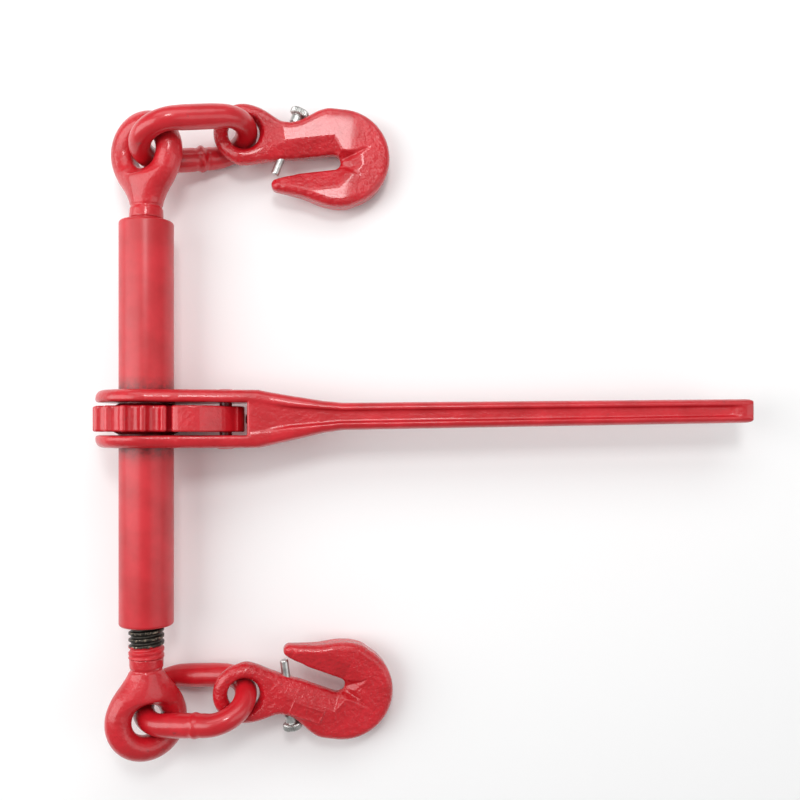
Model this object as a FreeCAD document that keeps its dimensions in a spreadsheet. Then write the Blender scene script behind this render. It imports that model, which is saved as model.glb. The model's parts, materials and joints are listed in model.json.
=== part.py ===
"""Ratchet load binder: barrel, ratchet handle, two eye bolts, links and grab hooks.

The binder lies on a floor. +Y runs along the barrel, +X out along the handle and +Z up.
It is built about the barrel's axis and moved at the end, so that its box stands centred
on the origin with its lowest point on the floor.
"""

import FreeCAD, Part
import math
import os
import re
import Sketcher

Vector = FreeCAD.Vector
Rotation = FreeCAD.Rotation
Placement = FreeCAD.Placement
X_AXIS, Y_AXIS, Z_AXIS = Vector(1, 0, 0), Vector(0, 1, 0), Vector(0, 0, 1)

doc = FreeCAD.newDocument("load_binder")
sheet = doc.addObject("Spreadsheet::Sheet", "Sizes")

# Driving sizes, in millimetres and degrees.
DRIVING_SIZES = {
    # barrel
    "barrel_length": 254,
    "barrel_outer_radius": 16.9,
    "barrel_bore_radius": 13.3,
    "barrel_rim_chamfer": 1.2,
    "gear_offset": 2.7,
    "bush_length": 38,
    # screws of the eye bolts
    "screw_radius": 11,
    "screw_clearance": 0.15,
    "screw_travel": 76.2,
    "thread_pitch": 4.233,
    "thread_depth": 1.7,
    "turns_left_out": 4.36,
    "shoulder_gap": 1.6,
    "washer_thickness": 3,
    "washer_clearance": 0.4,
    "end_screw_radius": 4,
    "end_screw_head_radius": 6.5,
    "end_screw_head_height": 3,
    "end_screw_length": 16,
    # eyes of the eye bolts
    "eye_ring_radius": 17.9,
    "eye_wire_radius": 8.2,
    "neck_radius": 10.6,
    "upper_neck_length": 19.5,
    "lower_neck_length": 16.8,
    "upper_eye_turn": 25.2,
    "lower_eye_turn": 34,
    # ratchet gear
    "gear_radius": 32.4,
    "gear_width": 16,
    "gear_teeth": 16,
    "gear_valley_radius": 4.3,
    "weld_leg": 1.6,
    # handle
    "handle_length": 381,
    "yoke_eye_radius": 30.7,
    "yoke_clearance": 0.3,
    "tine_thickness": 7.8,
    "tine_gap": 20.3,
    "window_end": 66,
    "shoulder_end": 80,
    "neck_end": 124,
    "grip_width": 17,
    "grip_tip_width": 14.8,
    "grip_height": 25,
    "grip_tip_height": 19,
    "grip_lean": 0.77,
    "web_width": 6,
    "web_depth": 3.6,
    # pawl and its detent
    "pawl_pivot_reach": 50,
    "pawl_pin_radius": 4,
    "pawl_pin_clearance": 0.06,
    "pawl_width": 16,
    "pawl_hub_radius": 9.5,
    "pawl_back_radius": 12,
    "rivet_head_radius": 6.2,
    "rivet_head_height": 1.2,
    "plunger_radius": 4,
    "plunger_clearance": 0.08,
    "plunger_length": 13,
    "plunger_gap": 0.12,
    "detent_bore_end": 98,
    "detent_wire_radius": 0.7,
    "detent_coil_radius": 2.9,
    "detent_turns": 7,
    "seat_gap": 0.1,
    # links
    "link_wire_radius": 7,
    "link_length": 82,
    "link_width": 53.5,
    # hooks
    "hook_eye_ring_radius": 14.5,
    "hook_eye_wire_radius": 4.8,
    "hook_thickness": 17,
    "shank_root_thickness": 11,
    "bowl_radius": 31,
    "bowl_reach": 60.3,
    "bowl_side": 23,
    "slot_centre_side": 25,
    "slot_width": 9.6,
    "slot_end_reach": 59.2,
    "tip_radius": 3,
    "size_panel_length": 22,
    "size_panel_width": 9,
    "size_panel_height": 0.6,
    # throat lock
    "lock_pin_radius": 2.5,
    "lock_pin_clearance": 0.08,
    "lock_collar_radius": 3.6,
    "lock_pocket_radius": 4,
    "lock_travel": 12,
    "lock_reach": 20.5,
    "lock_lean": 29.5,
    "lock_pin_out": 9.6,
    "lock_collar_height": 1.6,
    "lock_throat_wall": 5,
    "lock_bore_depth": 28,
    "lock_bush_height": 4,
    "lock_coil_radius": 3.15,
    "lock_wire_radius": 0.4,
    "lock_turns": 8,
    "lock_knob_radius": 6,
    "lock_knob_height": 5.6,
}

for row, (name, number) in enumerate(DRIVING_SIZES.items(), start=1):
    sheet.set(f"A{row}", name)
    sheet.set(f"B{row}", str(number))
    sheet.setAlias(f"B{row}", name)
doc.recompute()


def bound(formula):
    """A formula in sheet names, written the way an expression needs it."""
    return re.sub(
        r"[A-Za-z_]\w*",
        lambda word: "Sizes." + word.group(0) if word.group(0) in DRIVING_SIZES else word.group(0),
        str(formula),
    )


def value(formula):
    """The number that a formula in sheet names comes to."""
    return float(str(sheet.evalExpression(bound(formula))).split()[0])


def bind(item, **formulas):
    for name, formula in formulas.items():
        item.setExpression(name, bound(formula))
    return item


def along(axis):
    """The turn that carries +Z onto an axis."""
    return Rotation(Z_AXIS, axis)


def polygon_sketch(sketch, points):
    """A closed outline whose every corner is held to formulas in sheet names."""
    corners = [(value(across), value(up)) for across, up in points]
    count = len(corners)
    for index, (across, up) in enumerate(corners):
        next_across, next_up = corners[(index + 1) % count]
        sketch.addGeometry(Part.LineSegment(Vector(across, up, 0), Vector(next_across, next_up, 0)))
    for index in range(count):
        sketch.addConstraint(Sketcher.Constraint("Coincident", index, 2, (index + 1) % count, 1))
    for index, point in enumerate(points):
        for direction, formula, number in zip(("DistanceX", "DistanceY"), point, corners[index]):
            held = sketch.addConstraint(Sketcher.Constraint(direction, -1, 1, index, 1, number))
            sketch.setExpression(f"Constraints[{held}]", bound(formula))
    return sketch


def body_plane(body, role):
    return next(item for item in body.Origin.OriginFeatures if item.Role == role)


def body_sketch(body, name, role):
    sketch = body.newObject("Sketcher::SketchObject", name)
    sketch.AttachmentSupport = (body_plane(body, role), "")
    sketch.MapMode = "FlatFace"
    return sketch


def turned_body(name, points):
    """A body turned about +Y from (radius, height) corners."""
    body = doc.addObject("PartDesign::Body", name)
    sketch = polygon_sketch(body_sketch(body, name + "_profile", "XY_Plane"), points)
    turn = body.newObject("PartDesign::Revolution", name + "_turn")
    turn.Profile = sketch
    turn.ReferenceAxis = (sketch, ["V_Axis"])
    turn.Angle = 360
    body.Tip = turn
    return body


def prism(name, points, half_thickness, role="XY_Plane"):
    """A body padded evenly to both sides of a plane from corners in that plane."""
    body = doc.addObject("PartDesign::Body", name)
    sketch = polygon_sketch(body_sketch(body, name + "_outline", role), points)
    pad = body.newObject("PartDesign::Pad", name + "_pad")
    pad.Profile = sketch
    pad.SideType = "Symmetric"
    bind(pad, Length=f"({half_thickness}) * 2")
    body.Tip = pad
    return body


def cylinder(name, radius, length, start, axis=Z_AXIS):
    """A cylinder that starts at a place and runs along an axis."""
    item = doc.addObject("Part::Cylinder", name)
    bind(item, Radius=radius, Height=length)
    item.Placement = Placement(Vector(0, 0, 0), along(axis))
    for letter, formula in zip("xyz", start):
        item.setExpression(f"Placement.Base.{letter}", bound(formula))
    return item


def box(name, length, width, height, corner):
    item = doc.addObject("Part::Box", name)
    bind(item, Length=length, Width=width, Height=height)
    for letter, formula in zip("xyz", corner):
        item.setExpression(f"Placement.Base.{letter}", bound(formula))
    return item


def torus(name, ring_radius, wire_radius, start=(0, 0, 0), angle=360):
    item = doc.addObject("Part::Torus", name)
    bind(item, Radius1=ring_radius, Radius2=wire_radius)
    item.Angle3 = angle
    for letter, formula in zip("xyz", start):
        item.setExpression(f"Placement.Base.{letter}", bound(formula))
    return item


def fuse(name, *pieces):
    item = doc.addObject("Part::MultiFuse", name)
    item.Shapes = list(pieces)
    item.Refine = True
    return item


def cut(name, base, tool):
    item = doc.addObject("Part::Cut", name)
    item.Base, item.Tool = base, tool
    item.Refine = True
    return item


def common(name, first, second):
    item = doc.addObject("Part::MultiCommon", name)
    item.Shapes = [first, second]
    return item


subparts = []


def finished(item, label, place=None):
    """Names a sub-part and puts it in its place round the barrel's axis."""
    item.Label = label
    if place is not None:
        item.Placement = place
    subparts.append(item)
    return item


COIL_BENDS = 18


def coil(name, ring_radius, wire_radius, length, turns):
    """A round-wire spring that stands on the XY plane, wound in short straight runs."""
    rise = length - 2 * wire_radius
    runs = int(turns * COIL_BENDS)
    bends = [
        Vector(
            ring_radius * math.cos(2 * math.pi * run / COIL_BENDS),
            ring_radius * math.sin(2 * math.pi * run / COIL_BENDS),
            wire_radius + rise * run / runs,
        )
        for run in range(runs + 1)
    ]
    section = Part.Wire(Part.makeCircle(wire_radius, bends[0], bends[1] - bends[0]))
    shape = Part.makePolygon(bends).makePipeShell([section], True, False, 1)
    spring = doc.addObject("Part::Feature", name)
    spring.Shape = Part.Solid(shape) if shape.ShapeType != "Solid" else shape
    return spring


# ---------------------------------------------------------------- barrel

# The gear, at the middle of the binder, sits a little off the middle of the barrel.
upper_rim = "(barrel_length / 2 - gear_offset)"
lower_rim = "(-barrel_length / 2 - gear_offset)"
finished(
    turned_body(
        "barrel",
        [
            ("barrel_bore_radius", lower_rim),
            ("barrel_outer_radius - barrel_rim_chamfer", lower_rim),
            ("barrel_outer_radius", f"{lower_rim} + barrel_rim_chamfer"),
            ("barrel_outer_radius", f"{upper_rim} - barrel_rim_chamfer"),
            ("barrel_outer_radius - barrel_rim_chamfer", upper_rim),
            ("barrel_bore_radius", upper_rim),
        ],
    ),
    "barrel_tube",
)

for end, rim, inner_end in (
    ("upper", upper_rim, f"{upper_rim} - bush_length"),
    ("lower", lower_rim, f"{lower_rim} + bush_length"),
):
    finished(
        turned_body(
            end + "_bush",
            [
                ("screw_radius + screw_clearance", inner_end),
                ("barrel_bore_radius", inner_end),
                ("barrel_bore_radius", rim),
                ("screw_radius + screw_clearance", rim),
            ],
        ),
        end + "_end_bush",
    )

# The gear: a ring with one round valley cut at +X and repeated.
gear = doc.addObject("PartDesign::Body", "gear")
gear_ring = body_sketch(gear, "gear_ring", "XZ_Plane")
for index, formula in enumerate(("gear_radius", "barrel_outer_radius")):
    gear_ring.addGeometry(Part.Circle(Vector(0, 0, 0), Z_AXIS, value(formula)))
    gear_ring.addConstraint(Sketcher.Constraint("Coincident", index, 3, -1, 1))
    held = gear_ring.addConstraint(Sketcher.Constraint("Radius", index, value(formula)))
    gear_ring.setExpression(f"Constraints[{held}]", bound(formula))
gear_pad = gear.newObject("PartDesign::Pad", "gear_pad")
gear_pad.Profile = gear_ring
gear_pad.SideType = "Symmetric"
bind(gear_pad, Length="gear_width")
doc.recompute()
valley = body_sketch(gear, "gear_valley", "XZ_Plane")
valley.addGeometry(Part.Circle(Vector(value("gear_radius"), 0, 0), Z_AXIS, value("gear_valley_radius")))
valley.addConstraint(Sketcher.Constraint("PointOnObject", 0, 3, -1))
for kind, formula in (("Radius", "gear_valley_radius"), ("DistanceX", "gear_radius")):
    ends = (0,) if kind == "Radius" else (-1, 1, 0, 3)
    held = valley.addConstraint(Sketcher.Constraint(kind, *ends, value(formula)))
    valley.setExpression(f"Constraints[{held}]", bound(formula))
valley_cut = gear.newObject("PartDesign::Pocket", "gear_valley_cut")
valley_cut.Profile = valley
valley_cut.SideType = "Symmetric"
bind(valley_cut, Length="gear_width * 2")
teeth = gear.newObject("PartDesign::PolarPattern", "gear_teeth_pattern")
teeth.Originals = [valley_cut]
teeth.Axis = (gear_ring, ["N_Axis"])
teeth.Angle = 360
bind(teeth, Occurrences="gear_teeth")
gear.Tip = teeth

# The handle rests with its tip on the floor that the gear stands on.
droop = math.degrees(
    math.asin((value("gear_radius") - value("grip_tip_height") / 2) / value("handle_length"))
)
handle_place = Placement(Vector(0, 0, 0), Rotation(Y_AXIS, droop))
finished(gear, "ratchet_gear", handle_place)

# Fillet welds hold the gear to the tube on both sides.
welds = [
    turned_body(
        f"gear_weld_{end}",
        [
            ("barrel_outer_radius", f"{side} * gear_width / 2"),
            ("barrel_outer_radius + weld_leg * 2", f"{side} * gear_width / 2"),
            ("barrel_outer_radius", f"{side} * (gear_width / 2 + weld_leg)"),
        ],
    )
    for end, side in (("upper", 1), ("lower", -1))
]
gear_welds = doc.addObject("Part::Compound", "gear_welds")
gear_welds.Links = welds
finished(gear_welds, "gear_welds")

# ---------------------------------------------------------------- handle

yoke_half_width = "(tine_gap / 2 + tine_thickness)"
lean = "tan(grip_lean)"
side_view = prism(
    "handle_side",
    [
        ("0", "-yoke_eye_radius"),
        ("window_end * 0.35", "-yoke_eye_radius * 0.9"),
        ("shoulder_end", "-grip_height / 2 - 2"),
        ("neck_end", "-grip_height / 2"),
        ("handle_length", "-grip_tip_height / 2"),
        ("handle_length", "grip_tip_height / 2"),
        ("neck_end", "grip_height / 2"),
        ("shoulder_end", "grip_height / 2 + 2"),
        ("window_end * 0.35", "yoke_eye_radius * 0.9"),
        ("0", "yoke_eye_radius"),
    ],
    "yoke_eye_radius",
    role="XZ_Plane",
)
yoke_eye = cylinder(
    "yoke_eye",
    "yoke_eye_radius",
    f"{yoke_half_width} * 2",
    ("0", f"-{yoke_half_width}", "0"),
    Y_AXIS,
)
top_view = prism(
    "handle_top",
    [
        ("-yoke_eye_radius * 1.1", f"-{yoke_half_width}"),
        ("shoulder_end - 6", f"-{yoke_half_width}"),
        ("shoulder_end + 2", f"-{yoke_half_width} + 3.5"),
        ("neck_end - 14", "-grip_width / 2 - 1.6"),
        ("neck_end", f"-grip_width / 2 + neck_end * {lean}"),
        ("handle_length - 4", f"-grip_tip_width / 2 + handle_length * {lean}"),
        ("handle_length", f"-grip_tip_width / 2 + 4 + handle_length * {lean}"),
        ("handle_length", f"grip_tip_width / 2 - 4 + handle_length * {lean}"),
        ("handle_length - 4", f"grip_tip_width / 2 + handle_length * {lean}"),
        ("neck_end", f"grip_width / 2 + neck_end * {lean}"),
        ("neck_end - 14", "grip_width / 2 + 3.4"),
        ("shoulder_end + 2", f"{yoke_half_width} - 3.5"),
        ("shoulder_end - 6", yoke_half_width),
        ("-yoke_eye_radius * 1.1", yoke_half_width),
    ],
    "yoke_eye_radius * 1.1",
)
forging = common("handle_forging", fuse("handle_sides", side_view, yoke_eye), top_view)


def web_recess(side):
    """The sunk band along one face of the grip."""
    name = "web_upper" if side > 0 else "web_lower"
    depth_view = prism(
        name + "_depth",
        [
            ("shoulder_end + 8", f"{side} * (grip_height / 2 + 1.6 - web_depth)"),
            ("neck_end", f"{side} * (grip_height / 2 - web_depth)"),
            ("handle_length - 10", f"{side} * (grip_tip_height / 2 - web_depth)"),
            ("handle_length - 10", f"{side} * yoke_eye_radius"),
            ("shoulder_end + 8", f"{side} * yoke_eye_radius"),
        ],
        "yoke_eye_radius",
        role="XZ_Plane",
    )
    width_view = prism(
        name + "_width",
        [
            ("shoulder_end + 8", "-web_width"),
            ("neck_end", f"-web_width / 2 + neck_end * {lean}"),
            ("handle_length - 10", f"-web_width / 2 + handle_length * {lean}"),
            ("handle_length - 10", f"web_width / 2 + handle_length * {lean}"),
            ("neck_end", f"web_width / 2 + neck_end * {lean}"),
            ("shoulder_end + 8", "web_width"),
        ],
        "yoke_eye_radius * 1.1",
    )
    return common(name + "_tool", depth_view, width_view)


handle_tools = fuse(
    "handle_tools",
    cylinder(
        "yoke_bore",
        "barrel_outer_radius + yoke_clearance",
        f"{yoke_half_width} * 4",
        ("0", f"-{yoke_half_width} * 2", "0"),
        Y_AXIS,
    ),
    box(
        "yoke_window",
        "window_end + yoke_eye_radius * 1.2",
        "tine_gap",
        "yoke_eye_radius * 4",
        ("-yoke_eye_radius * 1.2", "-tine_gap / 2", "-yoke_eye_radius * 2"),
    ),
    cylinder(
        "pawl_pin_bore",
        "pawl_pin_radius",
        f"{yoke_half_width} * 4",
        ("pawl_pivot_reach", f"-{yoke_half_width} * 2", "0"),
        Y_AXIS,
    ),
    cylinder(
        "detent_bore",
        "plunger_radius + plunger_clearance",
        "detent_bore_end - window_end + 4",
        ("window_end - 4", "0", "0"),
        X_AXIS,
    ),
    web_recess(1),
    web_recess(-1),
)
finished(cut("handle_body", forging, handle_tools), "handle", handle_place)

# The pin is riveted over the tines, and the pawl rocks on it.
pin_places = [
    ("pawl_pin_shank", "pawl_pin_radius", f"{yoke_half_width} * 2", f"-{yoke_half_width}"),
    ("pawl_pin_head_a", "rivet_head_radius", "rivet_head_height", yoke_half_width),
    (
        "pawl_pin_head_b",
        "rivet_head_radius",
        "rivet_head_height",
        f"-{yoke_half_width} - rivet_head_height",
    ),
]
finished(
    fuse(
        "pawl_pin",
        *(
            cylinder(name, radius, length, ("pawl_pivot_reach", start, "0"), Y_AXIS)
            for name, radius, length, start in pin_places
        ),
    ),
    "pawl_pin",
    handle_place,
)


def pawl_wing(side):
    """One arm of the pawl, from the hub to the nose that drops into the gear."""
    return prism(
        "pawl_wing_upper" if side > 0 else "pawl_wing_lower",
        [
            ("pawl_pivot_reach - 8", "0"),
            ("pawl_pivot_reach - 9", f"{side} * 9"),
            ("gear_radius + 3.6", f"{side} * 17.5"),
            ("gear_radius * 0.81", f"{side} * gear_radius * 0.7"),
            ("gear_radius * 0.72", f"{side} * gear_radius * 0.715"),
            ("gear_radius * 0.66", f"{side} * gear_radius * 0.79"),
            ("gear_radius * 0.73", f"{side} * gear_radius * 0.86"),
            ("gear_radius + 5", f"{side} * gear_radius * 0.83"),
            ("pawl_pivot_reach", f"{side} * 19"),
            ("pawl_pivot_reach + 7.5", f"{side} * 9"),
            ("pawl_pivot_reach + 8", "0"),
        ],
        "pawl_width / 2",
        role="XZ_Plane",
    )


pawl_back = common(
    "pawl_back",
    cylinder(
        "pawl_back_round",
        "pawl_back_radius",
        "pawl_width",
        ("pawl_pivot_reach", "-pawl_width / 2", "0"),
        Y_AXIS,
    ),
    box(
        "pawl_back_limit",
        "pawl_back_radius * 2",
        "pawl_width * 2",
        "pawl_hub_radius * 1.6",
        ("pawl_pivot_reach", "-pawl_width", "-pawl_hub_radius * 0.8"),
    ),
)
pawl_hub = cylinder(
    "pawl_hub",
    "pawl_hub_radius",
    "pawl_width",
    ("pawl_pivot_reach", "-pawl_width / 2", "0"),
    Y_AXIS,
)
pawl_bore = cylinder(
    "pawl_bore",
    "pawl_pin_radius + pawl_pin_clearance",
    "pawl_width * 2",
    ("pawl_pivot_reach", "-pawl_width", "0"),
    Y_AXIS,
)
pawl_blank = fuse("pawl_blank", pawl_wing(1), pawl_wing(-1), pawl_back, pawl_hub)
finished(cut("pawl", pawl_blank, pawl_bore), "pawl", handle_place)

# The plunger rests against the pawl's round back, with its spring behind it.
plunger_start = "(pawl_pivot_reach + pawl_back_radius + plunger_gap)"
plunger_nose = doc.addObject("Part::Cone", "plunger_nose")
bind(plunger_nose, Radius1="plunger_radius - 1.6", Radius2="plunger_radius", Height="1.6")
plunger_nose.Placement = Placement(Vector(0, 0, 0), along(X_AXIS))
plunger_nose.setExpression("Placement.Base.x", bound(plunger_start))
plunger_shank = cylinder(
    "plunger_shank",
    "plunger_radius",
    "plunger_length - 1.6",
    (f"{plunger_start} + 1.6", "0", "0"),
    X_AXIS,
)
finished(fuse("detent_plunger", plunger_nose, plunger_shank), "detent_plunger", handle_place)

spring_start = value(f"{plunger_start} + plunger_length + seat_gap")
spring_length = value("detent_bore_end - seat_gap") - spring_start
detent_spring = coil(
    "detent_spring",
    value("detent_coil_radius"),
    value("detent_wire_radius"),
    spring_length,
    value("detent_turns"),
)
finished(
    detent_spring,
    "detent_spring",
    handle_place.multiply(Placement(Vector(spring_start, 0, 0), along(X_AXIS))),
)

# ---------------------------------------------------------------- eye bolts

screw_inside = "(bush_length + screw_travel + washer_thickness + 0.8)"
groove_count = int(value(f"{screw_inside} / thread_pitch")) - 1


def screw_body(name, neck_length):
    """A screw along -Y from a shoulder at Y = 0, its thread cut as even ring grooves."""
    body = turned_body(
        name,
        [
            ("0", neck_length),
            ("neck_radius", neck_length),
            ("neck_radius", "0"),
            ("screw_radius", "-0.6"),
            ("screw_radius", f"-{screw_inside} + 1"),
            ("screw_radius - 1", f"-{screw_inside}"),
            ("0", f"-{screw_inside}"),
        ],
    )
    doc.recompute()
    thread = polygon_sketch(
        body_sketch(body, name + "_groove_profile", "XY_Plane"),
        [
            ("screw_radius + 1", "-thread_pitch * 0.7"),
            ("screw_radius + 1", "-thread_pitch * 1.7 + 0.2"),
            ("screw_radius - thread_depth", "-thread_pitch * 1.2 - 0.5"),
            ("screw_radius - thread_depth", "-thread_pitch * 1.2 + 0.5"),
        ],
    )
    groove = body.newObject("PartDesign::Groove", name + "_groove")
    groove.Profile = thread
    groove.ReferenceAxis = (thread, ["V_Axis"])
    groove.Angle = 360
    pattern = body.newObject("PartDesign::LinearPattern", name + "_grooves")
    pattern.Originals = [groove]
    pattern.Direction = (thread, ["V_Axis"])
    pattern.Reversed = True
    bind(pattern, Length=f"thread_pitch * {groove_count - 1}")
    pattern.Occurrences = groove_count
    body.Tip = pattern
    return body


def eye_bolt(end):
    """An eye bolt with its eye in the XY plane, screw shoulder at Y = 0 and screw along -Y."""
    name = end + "_eye"
    neck_length = end + "_neck_length"
    rise = f"({neck_length} + eye_ring_radius + eye_wire_radius * 0.55)"
    flare = doc.addObject("Part::Cone", name + "_flare")
    bind(flare, Radius1="neck_radius", Radius2="eye_wire_radius + 5", Height=f"{neck_length} * 0.9")
    flare.Placement = Placement(Vector(0, 0, 0), along(Y_AXIS))
    flare.setExpression("Placement.Base.y", bound(f"{neck_length} * 0.45"))
    flat = box(
        name + "_flare_limit",
        "eye_wire_radius * 6",
        f"{neck_length} * 3",
        "neck_radius * 2",
        ("-eye_wire_radius * 3", "0", "-neck_radius"),
    )
    blank = fuse(
        name + "_blank",
        screw_body(end + "_screw", neck_length),
        common(name + "_flare_flat", flare, flat),
        torus(name + "_ring", "eye_ring_radius", "eye_wire_radius", ("0", rise, "0")),
    )
    hole_keep = cylinder(
        name + "_hole_keep",
        "eye_ring_radius - eye_wire_radius",
        "eye_wire_radius * 4",
        ("0", rise, "-eye_wire_radius * 2"),
    )
    end_bore = cylinder(
        name + "_end_bore",
        "end_screw_radius",
        "end_screw_length",
        ("0", f"-{screw_inside}", "0"),
        Y_AXIS,
    )
    return cut(name + "_bolt", blank, fuse(name + "_holes", hole_keep, end_bore)), value(rise)


# How each end stands: which way its screw points, how far it is out and how its eye is turned.
lower_out = "thread_pitch * turns_left_out"
upper_shoulder = value(f"{upper_rim} + shoulder_gap")
lower_shoulder = value(f"{lower_rim} - shoulder_gap - {lower_out}")
upper_place = Placement(Vector(0, upper_shoulder, 0), Rotation(Y_AXIS, -value("upper_eye_turn")))
lower_place = Placement(
    Vector(0, lower_shoulder, 0),
    Rotation(Y_AXIS, value("lower_eye_turn")).multiply(Rotation(Z_AXIS, 180)),
)
ends = {}
for end, place in (("upper", upper_place), ("lower", lower_place)):
    bolt, rise = eye_bolt(end)
    finished(bolt, end + "_eye_bolt", place)
    ends[end] = place.multVec(Vector(0, rise, 0))

    washer = turned_body(
        end + "_washer",
        [
            ("end_screw_radius + 0.08", f"-{screw_inside} - 0.1"),
            ("barrel_bore_radius - washer_clearance", f"-{screw_inside} - 0.1"),
            ("barrel_bore_radius - washer_clearance", f"-{screw_inside} - 0.1 - washer_thickness"),
            ("end_screw_radius + 0.08", f"-{screw_inside} - 0.1 - washer_thickness"),
        ],
    )
    finished(washer, end + "_stop_washer", place)
    head_start = f"-{screw_inside} - 0.2 - washer_thickness"
    end_screw = turned_body(
        end + "_end_screw_body",
        [
            ("0", f"-{screw_inside} + end_screw_length"),
            ("end_screw_radius", f"-{screw_inside} + end_screw_length"),
            ("end_screw_radius", head_start),
            ("end_screw_head_radius", head_start),
            ("end_screw_head_radius", f"{head_start} - end_screw_head_height"),
            ("0", f"{head_start} - end_screw_head_height"),
        ],
    )
    finished(end_screw, end + "_end_screw", place)

# ---------------------------------------------------------------- links


def oval_link(name):
    """A closed oval link in the XY plane, long along X."""
    half_width = "(link_width / 2 - link_wire_radius)"
    half_straight = "(link_length / 2 - link_width / 2)"
    pieces = []
    for side in (1, -1):
        tag = "a" if side > 0 else "b"
        arm = cylinder(
            f"{name}_arm_{tag}",
            "link_wire_radius",
            f"{half_straight} * 2",
            (f"-{half_straight}", f"{side} * {half_width}", "0"),
            X_AXIS,
        )
        bend = doc.addObject("Part::Torus", f"{name}_bend_{tag}")
        bind(bend, Radius1=half_width, Radius2="link_wire_radius")
        bend.Angle3 = 180
        bend.Placement = Placement(Vector(0, 0, 0), Rotation(Z_AXIS, -90 * side))
        bend.setExpression("Placement.Base.x", bound(f"{side} * {half_straight}"))
        pieces += [arm, bend]
    return fuse(name, *pieces)


def leaned(turn, slope, roll):
    """Roll about X, then slope down towards +X, then turn about Z, all in degrees."""
    return Rotation(Z_AXIS, turn).multiply(Rotation(Y_AXIS, slope)).multiply(Rotation(X_AXIS, roll))


# How each link lies: where the middle of its near bend sits beside the centre of the eye
# that it runs through, and how it leans.
LINK_RESTS = {
    "upper": (Vector(-0.7, 3.1, 12.3), (11, 23.5, 69)),
    "lower": (Vector(-4.5, 8.5, -13.3), (3.4, -11.4, -54.2)),
}
link_reach = Vector(value("link_length / 2 - link_wire_radius"), 0, 0)
far_bends = {}
for end, (near_bend, angles) in LINK_RESTS.items():
    lean_of_link = leaned(*angles)
    link_centre = ends[end] + near_bend + lean_of_link.multVec(link_reach)
    far_bends[end] = link_centre + lean_of_link.multVec(link_reach)
    finished(oval_link(end + "_oval"), end + "_link", Placement(link_centre, lean_of_link))

# ---------------------------------------------------------------- hooks


def hook(name):
    """A grab hook in the XY plane: eye at the origin, slot along X, tip on the +Y side."""
    body_plate = prism(
        name + "_plate",
        [
            ("bowl_reach - 41", "-8.7"),
            ("bowl_reach - 35", "-4.3"),
            ("bowl_reach - 29", "-2.9"),
            ("bowl_reach - 23", "-3.2"),
            ("bowl_reach - 8", "-8"),
            ("bowl_reach", "bowl_side - bowl_radius + 0.2"),
            ("bowl_reach", "bowl_side + bowl_radius - 0.2"),
            ("bowl_reach - 18", "bowl_side + 27.6"),
            ("bowl_reach - 28", "bowl_side + 22"),
            ("bowl_reach - 44", "bowl_side + 15.2"),
            ("bowl_reach - 46", "bowl_side + 10.5"),
            ("bowl_reach - 38", "slot_centre_side + slot_width / 2"),
            ("bowl_reach - 20", "slot_centre_side + slot_width / 2 - 2"),
            ("bowl_reach - 20", "slot_centre_side - slot_width / 2"),
            ("bowl_reach - 41", "slot_centre_side - slot_width / 2"),
        ],
        "hook_thickness / 2",
    )
    bowl = cylinder(
        name + "_bowl",
        "bowl_radius",
        "hook_thickness",
        ("bowl_reach", "bowl_side", "-hook_thickness / 2"),
    )
    tip = cylinder(
        name + "_tip",
        "tip_radius",
        "hook_thickness",
        ("bowl_reach - 43.6", "bowl_side + 12.4", "-hook_thickness / 2"),
    )
    shank_root = prism(
        name + "_root",
        [
            ("-8", "hook_eye_ring_radius + 1.6"),
            ("-2.6", "slot_centre_side - slot_width / 2"),
            ("bowl_reach - 36", "slot_centre_side - slot_width / 2"),
            ("bowl_reach - 36", "-5"),
            ("bowl_reach - 41", "-8.7"),
            ("12.5", "-14.2"),
            ("6", "-16"),
            ("0", "0"),
        ],
        "shank_root_thickness / 2",
    )
    root_relief = cylinder(
        name + "_root_relief",
        "hook_eye_ring_radius",
        "hook_thickness * 2",
        ("0", "0", "-hook_thickness"),
    )
    slot_end = cylinder(
        name + "_slot_end",
        "slot_width / 2",
        "hook_thickness * 2",
        ("slot_end_reach - slot_width / 2", "slot_centre_side", "-hook_thickness"),
    )
    slot = prism(
        name + "_slot",
        [
            ("0", "slot_centre_side - slot_width / 2"),
            ("slot_end_reach - slot_width / 2", "slot_centre_side - slot_width / 2"),
            ("slot_end_reach - slot_width / 2", "slot_centre_side + slot_width / 2"),
            ("bowl_reach - 38", "slot_centre_side + slot_width / 2"),
            ("bowl_reach - 46", "slot_centre_side + slot_width / 2 + 3.4"),
            ("0", "slot_centre_side + slot_width / 2 + 3.4"),
        ],
        "hook_thickness",
    )
    panel = box(
        name + "_panel",
        "size_panel_length",
        "size_panel_width",
        "size_panel_height + 1",
        ("bowl_reach - 30", "-0.5", "hook_thickness / 2 - 1"),
    )
    ring = torus(name + "_ring", "hook_eye_ring_radius", "hook_eye_wire_radius")
    solid = cut(
        name + "_cut",
        fuse(name + "_body", body_plate, bowl, tip, panel, cut(name + "_root_cut", shank_root, root_relief)),
        fuse(name + "_gap", slot, slot_end),
    )
    blank = fuse(name + "_blank", solid, ring)
    return cut(name, blank, lock_holes(name))


# The lock pin crosses the throat, leaning towards the eye. Heights along it start at the
# slot's wall, so the spring, its bush and the knob behind that wall are at heights below 0.
lock_angle = math.radians(value("lock_lean"))
LOCK_AXIS = Vector(-math.sin(lock_angle), math.cos(lock_angle), 0)
lock_frame = Placement(
    Vector(value("lock_reach"), value("slot_centre_side - slot_width / 2"), 0), along(LOCK_AXIS)
)


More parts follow.
